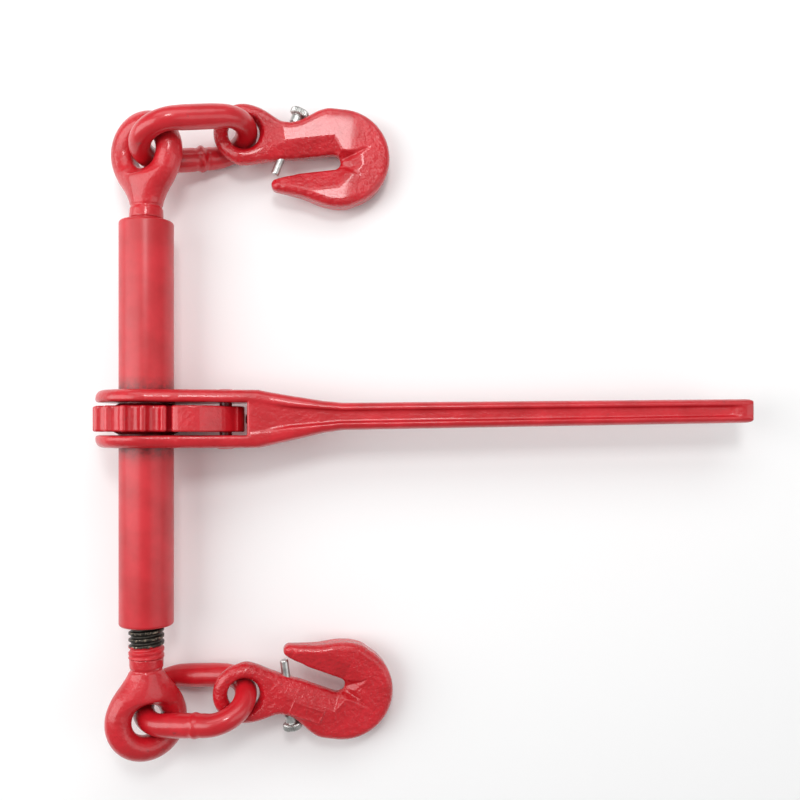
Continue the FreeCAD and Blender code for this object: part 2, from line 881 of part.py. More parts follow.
def lock_holes(name):
    """The pin's bore at the throat and the wider spring pocket behind it."""
    bore = doc.addObject("Part::Cylinder", name + "_lock_bore")
    bind(bore, Radius="lock_pin_radius + lock_pin_clearance")
    bind(bore, Height="lock_throat_wall * 8")
    bore.Placement = lock_frame.multiply(
        Placement(Vector(0, 0, -value("lock_throat_wall * 4")), Rotation())
    )
    pocket = doc.addObject("Part::Cylinder", name + "_lock_pocket")
    bind(pocket, Radius="lock_pocket_radius", Height="lock_bore_depth * 1.5")
    pocket.Placement = lock_frame.multiply(
        Placement(Vector(0, 0, -value("lock_throat_wall + lock_bore_depth * 1.5")), Rotation())
    )
    return fuse(name + "_lock_holes", bore, pocket)


def turned_z(name, points):
    """A body turned from (radius, height) corners and stood up along +Z."""
    body = turned_body(name, points)
    body.Placement = Placement(Vector(0, 0, 0), Rotation(X_AXIS, 90))
    upright = doc.addObject("Part::Compound", name + "_upright")
    upright.Links = [body]
    return upright


# How each hook lies: its eye's centre beside the middle of the link's far bend, and its lean.
HOOK_RESTS = {
    "upper": (Vector(-1.4, 1, 1.6), (8.1, 6.4, 0)),
    "lower": (Vector(-1.6, 2.8, -4.4), (-22.6, 11.9, 0)),
}
hook_places = {}
collar_top = "(-lock_throat_wall - seat_gap)"
collar_foot = f"({collar_top} - lock_collar_height)"
bush_top = "(1 - lock_bore_depth)"
bush_foot = f"({bush_top} - lock_bush_height)"
knob_top = f"({bush_foot} - seat_gap * 4)"
knob_foot = f"({knob_top} - lock_knob_height)"
pin_foot = f"({knob_top} - 0.8)"
for end, (beside_bend, angles) in HOOK_RESTS.items():
    hook_place = Placement(far_bends[end] + beside_bend, leaned(*angles))
    if end == "upper":
        # The same forging, turned over.
        hook_place = hook_place.multiply(Placement(Vector(0, 0, 0), Rotation(X_AXIS, 180)))
    hook_places[end] = hook_place
    finished(hook(end + "_grab_hook"), end + "_hook", hook_place)
    lock_place = hook_place.multiply(lock_frame)

    pin = turned_z(
        end + "_pin",
        [
            ("0", "lock_pin_out"),
            ("lock_pin_radius - 0.4", "lock_pin_out"),
            ("lock_pin_radius", "lock_pin_out - 0.4"),
            ("lock_pin_radius", collar_top),
            ("lock_collar_radius", collar_top),
            ("lock_collar_radius", collar_foot),
            ("lock_pin_radius", collar_foot),
            ("lock_pin_radius", pin_foot),
            ("0", pin_foot),
        ],
    )
    finished(pin, end + "_lock_pin", lock_place)

    lock_bush = turned_z(
        end + "_bush_ring",
        [
            ("lock_pin_radius + lock_pin_clearance", bush_top),
            ("lock_pocket_radius", bush_top),
            ("lock_pocket_radius", bush_foot),
            ("lock_pin_radius + lock_pin_clearance", bush_foot),
        ],
    )
    finished(lock_bush, end + "_lock_bush", lock_place)

    knob = turned_z(
        end + "_knob",
        [
            ("lock_pin_radius", knob_top),
            ("lock_knob_radius - 0.6", knob_top),
            ("lock_knob_radius", f"{knob_top} - 0.6"),
            ("lock_knob_radius", f"{knob_foot} + 1"),
            ("lock_knob_radius - 1", knob_foot),
            ("0", knob_foot),
            ("0", pin_foot),
            ("lock_pin_radius", pin_foot),
        ],
    )
    finished(knob, end + "_lock_knob", lock_place)

    spring_foot = value(f"{bush_top} + seat_gap")
    lock_spring = coil(
        end + "_lock_coil",
        value("lock_coil_radius"),
        value("lock_wire_radius"),
        value(f"{collar_foot} - seat_gap") - spring_foot,
        value("lock_turns"),
    )
    finished(
        lock_spring,
        end + "_lock_spring",
        lock_place.multiply(Placement(Vector(0, 0, spring_foot), Rotation())),
    )

# ---------------------------------------------------------------- stand it on the floor

doc.recompute()
overall = Part.makeCompound([item.Shape for item in subparts]).optimalBoundingBox(False, False)
to_floor = Vector(
    -(overall.XMin + overall.XMax) / 2, -(overall.YMin + overall.YMax) / 2, -overall.ZMin
)
for item in subparts:
    item.Placement = Placement(to_floor, Rotation()).multiply(item.Placement)
doc.recompute()

failed = [item.Name for item in doc.Objects if {"Invalid", "Error"} & set(item.State)]
if failed:
    raise RuntimeError("not built: " + ", ".join(failed))
for item in subparts:
    if item.Shape.isNull() or not item.Shape.isValid() or not item.Shape.Solids:
        raise RuntimeError("not a sound solid: " + item.Label)

os.makedirs("parts", exist_ok=True)
for item in subparts:
    solids = item.Shape.Solids
    shape = solids[0] if len(solids) == 1 else Part.makeCompound(solids)
    shape.exportStep(os.path.join("parts", item.Label + ".step"))
    print(f"{item.Label:22s} {len(solids)} solid(s) {item.Shape.Volume:12.1f} mm3")
print("moved to the floor by", tuple(round(number, 4) for number in to_floor))
print("overall", round(overall.XLength, 2), round(overall.YLength, 2), round(overall.ZLength, 2))
print("handle droop", round(droop, 4))
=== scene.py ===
# %% [markdown]
# # A ratchet load binder
#
# This tool pulls a chain tight. A long barrel is threaded inside at both ends, and a forged
# handle with a ratchet turns it, so that two eye bolts are drawn in together. A link and a grab
# hook hang on each eye. The frame that is loaded here fixes every size, place and joint. The
# lesson gives each piece its real surface and its real finish.

# %% Load the frame
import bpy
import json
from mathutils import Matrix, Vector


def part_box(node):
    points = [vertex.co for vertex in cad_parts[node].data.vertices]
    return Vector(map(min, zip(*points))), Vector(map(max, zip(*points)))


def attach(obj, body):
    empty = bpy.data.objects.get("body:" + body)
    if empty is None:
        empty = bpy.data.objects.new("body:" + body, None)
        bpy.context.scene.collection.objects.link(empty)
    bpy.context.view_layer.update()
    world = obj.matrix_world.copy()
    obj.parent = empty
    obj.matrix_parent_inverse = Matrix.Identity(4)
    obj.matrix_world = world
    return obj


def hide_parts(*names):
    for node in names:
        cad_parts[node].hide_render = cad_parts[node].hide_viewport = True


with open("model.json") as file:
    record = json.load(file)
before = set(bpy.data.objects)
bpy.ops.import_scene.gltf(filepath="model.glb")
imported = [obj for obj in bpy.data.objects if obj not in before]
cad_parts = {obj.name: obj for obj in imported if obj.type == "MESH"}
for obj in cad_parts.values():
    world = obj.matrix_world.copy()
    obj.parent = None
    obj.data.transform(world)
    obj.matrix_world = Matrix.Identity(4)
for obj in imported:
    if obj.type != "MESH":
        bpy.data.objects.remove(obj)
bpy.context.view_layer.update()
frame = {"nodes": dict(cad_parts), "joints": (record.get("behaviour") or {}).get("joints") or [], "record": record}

# %% [markdown]
# ## Places and units
#
# The frame is in metres. A small piece of hardware is easier to think of in millimetres, so each
# piece is shaped in millimetres about a centre of its own and then stood where its joint is. The
# joints say where the eyes, the hooks and the handle are and which way they lean, so no place has
# to be typed in twice.

# %% Tools and units
import json
import math

import bpy
import numpy as np
from mathutils import Matrix, Vector

MM = 0.001
joints = {joint["name"]: joint for joint in frame["joints"]}
mounts = {mount["name"]: mount for mount in frame["record"]["mounts"]}


def stand(centre, along_x, along_z):
    """The place whose X and Z lie along two directions, centred on a point in metres."""
    z = Vector(along_z).normalized()
    x = Vector(along_x)
    x = (x - z * x.dot(z)).normalized()
    turn = Matrix((x, z.cross(x), z)).transposed().to_4x4()
    return Matrix.Translation(Vector(centre)) @ turn


binder_centre = Vector(joints["handle_swing"]["pos_m"])
handle_along = Vector(joints["detent_press"]["axis"])
handle_place = stand(binder_centre, handle_along, (0, 0, 1))
barrel_low, barrel_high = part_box("barrel_tube")
print("binder centre", [round(number, 4) for number in binder_centre])
print("barrel length mm", round((barrel_high.y - barrel_low.y) / MM, 1))

# %% [markdown]
# ## From corners to a piece
#
# Every mesh in this lesson ends in the same step: its corners are scaled to metres, turned and
# moved to their place, the new object is hung on the body it moves with and given its finish, and
# the plain solids it stands for are hidden. Putting this in one function keeps the cells that
# follow about shape alone.

# %% Make a piece
def make_piece(name, corners, faces, place, body, finish, slot, stands_for=()):
    """A smooth mesh object from corners in millimetres about a place."""
    turn = np.array(place.to_3x3())
    spots = np.asarray(corners) * MM @ turn.T + np.array(place.translation)
    mesh = bpy.data.meshes.new(name)
    mesh.from_pydata(spots.tolist(), [], [list(map(int, face)) for face in faces])
    mesh.update()
    mesh.shade_smooth()
    mesh.materials.append(finish)
    piece = bpy.data.objects.new(name, mesh)
    bpy.context.scene.collection.objects.link(piece)
    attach(piece, body)
    if stands_for:
        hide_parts(*stands_for)
    print(f"{name}: {len(mesh.polygons)} faces")
    return piece


# %% [markdown]
# ## Turned pieces
#
# A barrel, a pin and a knob are turned on a lathe, so each is a profile spun round an axis.
# Blender's Screw modifier does this too. Spinning the profile in numpy leaves even rings of
# quads, and the radius can be changed with the angle, which is how a knurl is cut. No turned
# corner is truly sharp, so every corner of the profile is first replaced by a small arc.

# %% Soften a profile and spin it
def softened(points, radius, steps=4):
    """An open profile with each inner corner rounded by a curve that starts a radius away."""
    spots = [np.array(point, float) for point in points]
    line = [spots[0]]
    for before, corner, after in zip(spots, spots[1:], spots[2:]):
        room_before = np.linalg.norm(before - corner)
        room_after = np.linalg.norm(after - corner)
        reach = min(radius, room_before * 0.45, room_after * 0.45)
        start = corner + (before - corner) * reach / room_before
        end = corner + (after - corner) * reach / room_after
        for step in range(steps + 1):
            share = step / steps
            line.append((1 - share) ** 2 * start + 2 * share * (1 - share) * corner + share**2 * end)
    return np.array(line + [spots[-1]])


def spun(profile, segments=96, swell=None):
    """Corners and faces of (radius, height) points spun round +Z; swell changes a radius by angle."""
    angle = np.arange(segments) * math.tau / segments
    radius = np.repeat(profile[:, :1], segments, axis=1)
    height = np.repeat(profile[:, 1:], segments, axis=1)
    if swell is not None:
        radius = swell(radius, height, angle[None, :])
    corners = np.stack([radius * np.cos(angle), radius * np.sin(angle), height], axis=-1)
    faces = []
    for ring in range(len(profile) - 1):
        for spoke in range(segments):
            following = (spoke + 1) % segments
            low, high = ring * segments, (ring + 1) * segments
            faces.append((low + spoke, low + following, high + following, high + spoke))
    return corners.reshape(-1, 3), faces


# %% [markdown]
# ## Forged pieces
#
# A hook, an eye or a handle is hammered out between dies, so its faces flow into each other and
# nothing meets at a sharp line. It could be box-modelled and subdivided. Here each forging is
# written as a field: a formula that says how far any point is from the metal. Two fields melt
# together or cut each other with one number for the fillet, as a die maker would give it. Where
# the field is zero the metal ends, and a surface net lays quads there: one corner in each cell
# that the surface crosses, pulled onto the surface.

# %% Fields of distances
def melt(first, second, fillet):
    """Two fields joined, with a fillet where they meet."""
    near = np.maximum(fillet - np.abs(first - second), 0) / fillet
    return np.minimum(first, second) - near * near * fillet / 4


def meet(first, second, fillet):
    """What is inside both fields, with the edge between them rounded."""
    return -melt(-first, -second, fillet)


def carve(metal, tool, fillet):
    """The metal with the tool's space cut out and the edge rounded."""
    return meet(metal, -tool, fillet)


def ease(number, start, end):
    """Goes smoothly from 0 at start to 1 at end."""
    share = np.clip((number - start) / (end - start), 0, 1)
    return share * share * (3 - 2 * share)


def flat_outline(across, up, points):
    """Distance in a plane from a closed outline, negative inside."""
    spots = np.array(points, float)
    nearest = np.inf
    inside = np.zeros(np.broadcast(across, up).shape, bool)
    for start, end in zip(spots, np.roll(spots, -1, axis=0)):
        edge = end - start
        from_x, from_y = across - start[0], up - start[1]
        share = np.clip((from_x * edge[0] + from_y * edge[1]) / edge.dot(edge), 0, 1)
        gap = np.hypot(from_x - edge[0] * share, from_y - edge[1] * share)
        nearest = np.minimum(nearest, gap)
        spans = (start[1] > up) != (end[1] > up)
        if edge[1] != 0:
            inside ^= spans & (from_x < edge[0] * from_y / edge[1])
    return np.where(inside, -nearest, nearest)


def slab(outline, depth, half_thickness, edge):
    """A plate of a flat outline, its rims rounded to the edge radius."""
    side, face = outline + edge, depth - half_thickness + edge
    outside = np.hypot(np.maximum(side, 0), np.maximum(face, 0))
    return outside + np.minimum(np.maximum(side, face), 0) - edge


def ring_field(x, y, z, ring_radius, wire_radius):
    """A round ring in the XY plane."""
    return np.hypot(np.hypot(x, y) - ring_radius, z) - wire_radius


# %% [markdown]
# ## From a field to quads
#
# A field has no faces yet. Blender can mesh a volume with its Remesh modifier, but that softens
# thin rims and small fillets. A surface net is short to write and keeps them: one corner goes in
# each small cube that the surface crosses, and each crossed edge of the grid gives one quad. The
# corners are then pulled along the slope of the field, which puts them on the true surface.

# %% Lay a surface net
def surface_net(field, low, high, step):
    """Corners and quads on the zero surface of a field, between two corners in millimetres."""
    axes = [np.arange(start, end + step, step) for start, end in zip(low, high)]
    x, y, z = np.meshgrid(*axes, indexing="ij", sparse=True)
    values = np.broadcast_to(field(x, y, z), [len(line) for line in axes])
    cells = np.array(values.shape) - 1
    owners, crossings, quads = [], [], []
    for axis in range(3):
        near = np.take(values, range(cells[axis]), axis)
        far = np.take(values, range(1, cells[axis] + 1), axis)
        crossed = np.argwhere((near < 0) != (far < 0))
        start, end = near[tuple(crossed.T)], far[tuple(crossed.T)]
        spot = crossed.astype(float)
        spot[:, axis] += start / (start - end)
        round_edge = []
        for back_first, back_second in ((0, 0), (1, 0), (1, 1), (0, 1)):
            cell = crossed.copy()
            cell[:, (axis + 1) % 3] -= back_first
            cell[:, (axis + 2) % 3] -= back_second
            round_edge.append(np.ravel_multi_index(cell.T, cells))
            crossings.append(spot)
        owners += round_edge
        quad = np.stack(round_edge, 1)
        quads.append(np.where((start > 0)[:, None], quad[:, ::-1], quad))
    ids, owner = np.unique(np.concatenate(owners), return_inverse=True)
    spots = np.concatenate(crossings)
    share = np.bincount(owner)
    corners = np.stack([np.bincount(owner, spots[:, axis]) / share for axis in range(3)], 1)
    corners = corners * step + np.array(low)
    return pulled(field, corners, step), np.searchsorted(ids, np.concatenate(quads))


def pulled(field, corners, step):
    """Corners moved along the slope of the field until they lie on its zero surface."""
    reach = step * 0.1
    for _ in range(3):
        here = field(*corners.T)
        slope = []
        for axis in range(3):
            ahead, behind = corners.copy(), corners.copy()
            ahead[:, axis] += reach
            behind[:, axis] -= reach
            slope.append((field(*ahead.T) - field(*behind.T)) / (2 * reach))
        slope = np.stack(slope, 1)
        steepness = np.maximum((slope**2).sum(1), 0.05)
        move = (here / steepness)[:, None] * slope
        corners = corners - np.clip(move, -step * 0.5, step * 0.5)
    return corners


# %% [markdown]
# ## Red enamel
#
# The binder is dipped in red enamel after forging. The coat is glossy but not flat: it dries with
# a fine orange peel, lies thicker in hollows, and picks up grey scuffs where pieces rub. A single
# red would look like plastic. So the colour drifts between two reds, the fine skin is a bump made
# of two sizes of noise, and shade is painted into the hollows, darkest where the surface is most
# sheltered. Each side of the yoke the tube has a ring of painted shade. The clear coat over it is
# set on the shader itself, because it is the same all over a piece.

# %% Nodes for a finish
def new_finish(name):
    """A material, its node tree and its main shader."""
    finish = bpy.data.materials.new(name)
    finish.use_nodes = True
    tree = finish.node_tree
    return finish, tree, tree.nodes["Principled BSDF"]


def add_node(tree, kind, values=None, **settings):
    """A node with its settings, its inputs joined to sockets or given values."""
    node = tree.nodes.new(kind)
    for name, setting in settings.items():
        setattr(node, name, setting)
    for socket, given in (values or {}).items():
        if isinstance(given, bpy.types.NodeSocket):
            tree.links.new(given, node.inputs[socket])
        else:
            node.inputs[socket].default_value = given
    return node


def noise(tree, spot, size, detail=3.0, roughness=0.55):
    """Noise whose blotches are about a size in metres."""
    values = {"Vector": spot, "Scale": 1 / size, "Detail": detail, "Roughness": roughness}
    return add_node(tree, "ShaderNodeTexNoise", values).outputs["Fac"]


def spread(tree, factor, start, end):
    """A factor stretched so that start becomes 0 and end becomes 1."""
    values = {"Value": factor, "From Min": start, "From Max": end}
    return add_node(tree, "ShaderNodeMapRange", values).outputs["Result"]


def blended(tree, factor, first, second):
    """A colour between two, by a factor."""
    node = add_node(tree, "ShaderNodeMix", {"Factor": factor}, data_type="RGBA")
    for socket, colour in ((node.inputs[6], first), (node.inputs[7], second)):
        if isinstance(colour, bpy.types.NodeSocket):
            tree.links.new(colour, socket)
        else:
            socket.default_value = (*colour, 1)
    return node.outputs[2]


def times(tree, first, second):
    """The product of two factors."""
    return add_node(tree, "ShaderNodeMath", {0: first, 1: second}, operation="MULTIPLY").outputs[0]


# %% [markdown]
# ## One enamel, four coats
#
# The same paint lies differently on each piece. It is nearly smooth on the drawn tube, pebbled on
# the rough faces of the forgings, and deepest on the hooks. So one function makes the enamel, and
# a few numbers say how deep its skin is, how glossy it dries and how much it has been rubbed. The
# tones are dark and strong, because the pale sky adds white to them.

# %% Enamel on forged and drawn steel
BRIGHT_RED = (0.60, 0.010, 0.020)
DEEP_RED = (0.47, 0.004, 0.010)
# The next dark red is painted shade, laid in the hollows and beside the yoke.
PAINTED_SHADE = (0.050, 0.008, 0.009)
SCUFF = (0.13, 0.030, 0.034)
BAND_START = 0.0190
BAND_END = 0.0270


def yoke_shade_band(tree, spot, red, middle):
    """The red with a dark ring of painted shade on each side of a place along the barrel."""
    along = add_node(tree, "ShaderNodeSeparateXYZ", {"Vector": spot}).outputs["Y"]
    aside = add_node(tree, "ShaderNodeMath", {0: along, 1: middle}, operation="SUBTRACT").outputs[0]
    aside = add_node(tree, "ShaderNodeMath", {0: aside}, operation="ABSOLUTE").outputs[0]
    blotches = spread(tree, noise(tree, spot, 0.005, 5.0, 0.7), 0.30, 0.62)
    # Painted shade: the tube is darkened in blotches either side of the yoke, where the yoke shades it.
    band = times(tree, spread(tree, aside, BAND_END, BAND_START), blotches)
    return blended(tree, times(tree, band, 0.75), red, PAINTED_SHADE)


def enamel(name, peel, peel_size, gloss, scuffed, coat_gloss=0.10, yoke_shade_at=None):
    """Red paint: peel is how deep the orange peel is, in metres, gloss its roughness."""
    finish, tree, shader = new_finish(name)
    spot = add_node(tree, "ShaderNodeTexCoord").outputs["Object"]
    drift = spread(tree, noise(tree, spot, 0.022), 0.35, 0.65)
    red = blended(tree, drift, DEEP_RED, BRIGHT_RED)
    rubs = spread(tree, noise(tree, spot, 0.007, 5.0, 0.7), 0.62, 0.74)
    rub_places = spread(tree, noise(tree, spot, 0.035), 0.48, 0.62)
    worn = times(tree, times(tree, rubs, rub_places), scuffed)
    red = blended(tree, worn, red, SCUFF)
    # Painted shade: hollows that the occlusion finds sheltered are darkened in patches towards a near-black red.
    open_sky = add_node(tree, "ShaderNodeAmbientOcclusion", {"Distance": 0.006}, samples=6)
    sheltered = spread(tree, open_sky.outputs["AO"], 0.62, 0.12)
    patchy = spread(tree, noise(tree, spot, 0.004, 4.0), 0.25, 0.65)
    red = blended(tree, times(tree, times(tree, sheltered, patchy), 0.8), red, PAINTED_SHADE)
    if yoke_shade_at is not None:
        red = yoke_shade_band(tree, spot, red, yoke_shade_at)
    tree.links.new(red, shader.inputs["Base Color"])
    rough = add_node(
        tree,
        "ShaderNodeMapRange",
        {"Value": noise(tree, spot, 0.009), "To Min": gloss - 0.06, "To Max": gloss + 0.10},
    )
    tree.links.new(rough.outputs["Result"], shader.inputs["Roughness"])
    skin = add_node(
        tree,
        "ShaderNodeBump",
        {"Height": noise(tree, spot, peel_size, 2.0), "Distance": peel, "Strength": 1.0},
    )
    fine = add_node(
        tree,
        "ShaderNodeBump",
        {
            "Height": noise(tree, spot, peel_size * 0.3, 2.0),
            "Distance": peel * 0.22,
            "Strength": 1.0,
            "Normal": skin.outputs["Normal"],
        },
    )
    tree.links.new(fine.outputs["Normal"], shader.inputs["Normal"])
    shader.inputs["Coat Weight"].default_value = 0.45
    shader.inputs["Coat Roughness"].default_value = coat_gloss
    shader.inputs["IOR"].default_value = 1.5
    return finish


tube_enamel = enamel("tube_enamel", 0.00006, 0.0035, 0.46, 0.35, 0.30, binder_centre.y)
forged_enamel = enamel("forged_enamel", 0.00040, 0.0027, 0.34, 0.7)
hook_enamel = enamel("hook_enamel", 0.00110, 0.0030, 0.22, 0.45, 0.05)
link_enamel = enamel("link_enamel", 0.00015, 0.0034, 0.32, 1.0)
print("enamels:", [finish.name for finish in (tube_enamel, forged_enamel, hook_enamel, link_enamel)])

# %% [markdown]
# ## Bare steel
#
# The lock pins and their knobs are zinc plated: pale grey with a faint drift in tone. The pieces
# inside the barrel are plain turned steel with an oily film, and the springs are darker. All are
# metals, so what tells them apart is their tone, how sharp their reflections are, and what the
# fine bump does to them. One function with a few numbers makes them all, which is easier to keep
# in step than four materials built by hand.

# %% Steel finishes
def steel(name, dark, light, roughness, grain, grain_size):
    """A bare metal that drifts between two tones."""
    finish, tree, shader = new_finish(name)
    spot = add_node(tree, "ShaderNodeTexCoord").outputs["Object"]
    drift = spread(tree, noise(tree, spot, 0.0035, 4.0), 0.35, 0.65)
    tree.links.new(blended(tree, drift, dark, light), shader.inputs["Base Color"])
    rough = add_node(
        tree,
        "ShaderNodeMapRange",
        {"Value": noise(tree, spot, 0.002), "To Min": roughness - 0.08, "To Max": roughness + 0.12},
    )
    tree.links.new(rough.outputs["Result"], shader.inputs["Roughness"])
    bump = add_node(
        tree,
        "ShaderNodeBump",
        {"Height": noise(tree, spot, grain_size, 3.0), "Distance": grain, "Strength": 1.0},
    )
    tree.links.new(bump.outputs["Normal"], shader.inputs["Normal"])
    shader.inputs["Metallic"].default_value = 1.0
    return finish


zinc = steel("zinc_plate", (0.42, 0.42, 0.41), (0.68, 0.68, 0.66), 0.36, 0.00003, 0.0008)
plain_steel = steel("plain_steel", (0.22, 0.21, 0.20), (0.42, 0.41, 0.39), 0.38, 0.00002, 0.0006)
bush_steel = steel("bush_steel", (0.13, 0.12, 0.11), (0.33, 0.31, 0.28), 0.42, 0.00003, 0.0008)
spring_steel = steel("spring_steel", (0.16, 0.16, 0.17), (0.36, 0.36, 0.38), 0.34, 0.00002, 0.0005)

# %% [markdown]
# ## The barrel
#
# The barrel is a drawn tube with its rims broken by a chamfer. It is one spun profile that goes
# up the outside and back down the bore, closed into a ring, so that the wall has its true
# thickness when it is seen from the end. The bore keeps the size of the bushes pressed into it.

# %% Spin the barrel
bush_low, bush_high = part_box("upper_end_bush")
barrel_half = (barrel_high.y - barrel_low.y) / 2 / MM
barrel_radius = (barrel_high.x - barrel_low.x) / 2 / MM
bore_radius = (bush_high.x - bush_low.x) / 2 / MM
RIM_CHAMFER = 1.2
barrel_place = stand((barrel_low + barrel_high) / 2, (1, 0, 0), (0, 1, 0))
barrel_profile = softened(
    [
        (bore_radius, 0),
        (bore_radius, -barrel_half),
        (barrel_radius - RIM_CHAMFER, -barrel_half),
        (barrel_radius, -barrel_half + RIM_CHAMFER),
        (barrel_radius, barrel_half - RIM_CHAMFER),
        (barrel_radius - RIM_CHAMFER, barrel_half),
        (bore_radius, barrel_half),
        (bore_radius, 0),
    ],
    0.8,
)
make_piece(
    "barrel_shell", *spun(barrel_profile, 128), barrel_place, "barrel", tube_enamel, "red_paint",
    ["barrel_tube"],
)

# %% [markdown]
# ## The ratchet gear
#
# The gear has sixteen blunt teeth with round valleys, cast and then painted with the rest. It is
# a plate with a circle of round cuts, and its rims are well rounded. The gear turns with the
# handle's lean so that a valley lies on the handle's line at rest, as in the frame.

# %% Forge the gear
gear_low, gear_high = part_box("ratchet_gear")
GEAR_TEETH = 16
gear_radius = 32.4
VALLEY_RADIUS = 4.3
gear_half = (gear_high.y - gear_low.y) / 2 / MM


def gear_field(x, y, z):
    """The gear round the Y axis, a valley on +X."""
    radius = np.hypot(x, z)
    step = math.tau / GEAR_TEETH
    angle = np.arctan2(z, x)
    angle = angle - np.round(angle / step) * step
    valley = np.hypot(radius * np.cos(angle) - gear_radius, radius * np.sin(angle)) - VALLEY_RADIUS
    rim = carve(radius - gear_radius, valley, 1.8)
    rim = np.maximum(rim, barrel_radius - 0.2 - radius)
    return slab(rim, np.abs(y), gear_half, 1.3)


make_piece(
    "gear", *surface_net(gear_field, (-35, -10, -35), (35, 10, 35), 0.6), handle_place, "barrel",
    forged_enamel, "red_paint", ["ratchet_gear"],
)

# %% [markdown]
# ## The handle
#
# The handle is one forging: two flat tines that ride on the barrel each side of the gear, a heavy
# shoulder that they run into, and a long grip. The grip is an H in section, with a raised rib
# along each edge and a sunken web between them, which is as stiff as a solid bar at half the
# weight. Its outline from the side and its outline from above are each a few corners, and what
# lies inside both is the blank. The window, the bore and the webs are then cut out of it.

# %% Handle sizes
HANDLE_LENGTH = 381
YOKE_RADIUS = 30.7
YOKE_HALF = 17.95
WINDOW_HALF = 10.15
WINDOW_END = 66
SHOULDER_END = 80
NECK_END = 124
PIN_REACH = 50
PIN_RADIUS = 4.0
YOKE_CLEARANCE = 0.3
GRIP_LEAN = math.tan(math.radians(0.77))


def half_height(x):
    """Half the handle's height, from the yoke to the tip."""
    return np.interp(x, [26, SHOULDER_END, NECK_END, HANDLE_LENGTH], [26.5, 15.2, 12.5, 9.5])


def handle_side(x, z):
    """The handle's outline from the side."""
    arm = np.maximum(np.abs(z) - half_height(x), np.maximum(-x, x - HANDLE_LENGTH))
    eye = np.hypot(x, z) - YOKE_RADIUS
    return melt(eye, arm, 6)


def handle_top(x, y):
    """The handle's outline from above."""
    middle = np.clip(x, 0, HANDLE_LENGTH) * GRIP_LEAN * ease(x, 60, NECK_END)
    half = np.interp(x, [72, 80, 112, NECK_END, HANDLE_LENGTH], [YOKE_HALF, 16.2, 9.9, 8.5, 7.4])
    return np.maximum(np.abs(y - middle) - half, x - HANDLE_LENGTH)


def handle_field(x, y, z):
    """The handle with X along it and Y along the barrel."""
    blank = meet(handle_side(x, z), handle_top(x, y), 6.0)
    window = np.maximum(np.abs(y) - WINDOW_HALF, x - WINDOW_END)
    metal = carve(blank, window, 2.2)
    bore = np.hypot(x, z) - (barrel_radius + YOKE_CLEARANCE)
    metal = carve(metal, bore, 1.2)
    middle = x * GRIP_LEAN
    web_half = np.interp(x, [66, 92, NECK_END, HANDLE_LENGTH], [9.5, 6.0, 3.6, 3.1])
    web_depth = 3.2 * ease(x, 68, 104) * (1 - ease(x, HANDLE_LENGTH - 16, HANDLE_LENGTH - 6))
    web = meet(np.abs(y - middle) - web_half, half_height(x) - web_depth - np.abs(z), 1.5)
    metal = carve(metal, web, 2.0)
    pin = np.hypot(x - PIN_REACH, z) - PIN_RADIUS
    return carve(metal, pin, 0.4)


make_piece(
    "handle_forging",
    *surface_net(handle_field, (-34, -21, -34), (384, 21, 34), 0.85),
    handle_place, "handle", forged_enamel, "red_paint", ["handle"],
)

# %% [markdown]
# ## The pawl and its pin
#
# The pawl rocks on a cross pin between the tines, and one of its two noses drops into the gear to
# choose which way the barrel turns. Its outline is drawn once for the upper wing and mirrored.
# Cutting the corners of the outline twice gives the easy curves of a forging.

# %% Forge the pawl
PAWL_HALF = 8
HUB_RADIUS = 9.5
BACK_RADIUS = 11.75
BACK_HALF = 7.6
PAWL_BORE = 4.3
WING = [
    (58, 0), (57.5, 9), (50, 19), (37.4, 26.9), (23.9, 27.7), (21.6, 25.6), (23.5, 23.3),
    (26.4, 22.6), (36, 17.4), (41, 9), (42, 0),
]


def corners_cut(points, times_cut=2):
    """A closed outline with each corner cut off, again and again."""
    line = np.array(points, float)
    for _ in range(times_cut):
        after = np.roll(line, -1, axis=0)
        line = np.stack([line * 0.78 + after * 0.22, line * 0.22 + after * 0.78], 1).reshape(-1, 2)
    return line


def pawl_field(x, y, z):
    """The pawl about the binder's centre, with Y along the barrel."""
    outline = flat_outline(x, np.abs(z), corners_cut(WING + [(42, -6), (58, -6)]))
    from_pin = np.hypot(x - PIN_REACH, z)
    back = np.maximum(from_pin - BACK_RADIUS, np.abs(z) - BACK_HALF)
    back = np.maximum(back, PIN_REACH - x)
    outline = melt(outline, melt(from_pin - HUB_RADIUS, back, 1.5), 2.5)
    return carve(slab(outline, np.abs(y), PAWL_HALF, 1.0), from_pin - PAWL_BORE, 0.3)


make_piece(
    "pawl_forging", *surface_net(pawl_field, (15, -10, -32), (66, 10, 32), 0.5), handle_place,
    "pawl", forged_enamel, "red_paint", ["pawl"],
)

# %% [markdown]
# ## The pawl's pin
#
# The pawl rocks on a steel pin whose ends are hammered over the tines into low domes and painted
# with the rest. It is a lathe profile like the barrel's, laid across the handle. Its shank is a
# little thinner than the pawl's bore, so that the two meshes never touch as the pawl tips.

# %% Turn the pawl pin
HEAD_RADIUS = 6.0
HEAD_HEIGHT = 0.9
RIVET_RADIUS = 3.95
pin_spot = Matrix.Translation((PIN_REACH * MM, 0, 0))
pin_place = handle_place @ pin_spot @ Matrix.Rotation(-math.pi / 2, 4, "X")
pin_half = YOKE_HALF + HEAD_HEIGHT
pin_profile = softened(
    [
        (0.01, -pin_half), (HEAD_RADIUS - 2.2, -pin_half), (HEAD_RADIUS, -YOKE_HALF - 0.2),
        (HEAD_RADIUS, -YOKE_HALF + 0.1), (RIVET_RADIUS, -YOKE_HALF + 0.1),
        (RIVET_RADIUS, YOKE_HALF - 0.1),
        (HEAD_RADIUS, YOKE_HALF - 0.1), (HEAD_RADIUS, YOKE_HALF + 0.2), (HEAD_RADIUS - 2.2, pin_half),
        (0.01, pin_half),
    ],
    0.8,
)
make_piece(
    "pawl_rivet", *spun(pin_profile, 48), pin_place, "handle", forged_enamel, "red_paint", ["pawl_pin"]
)

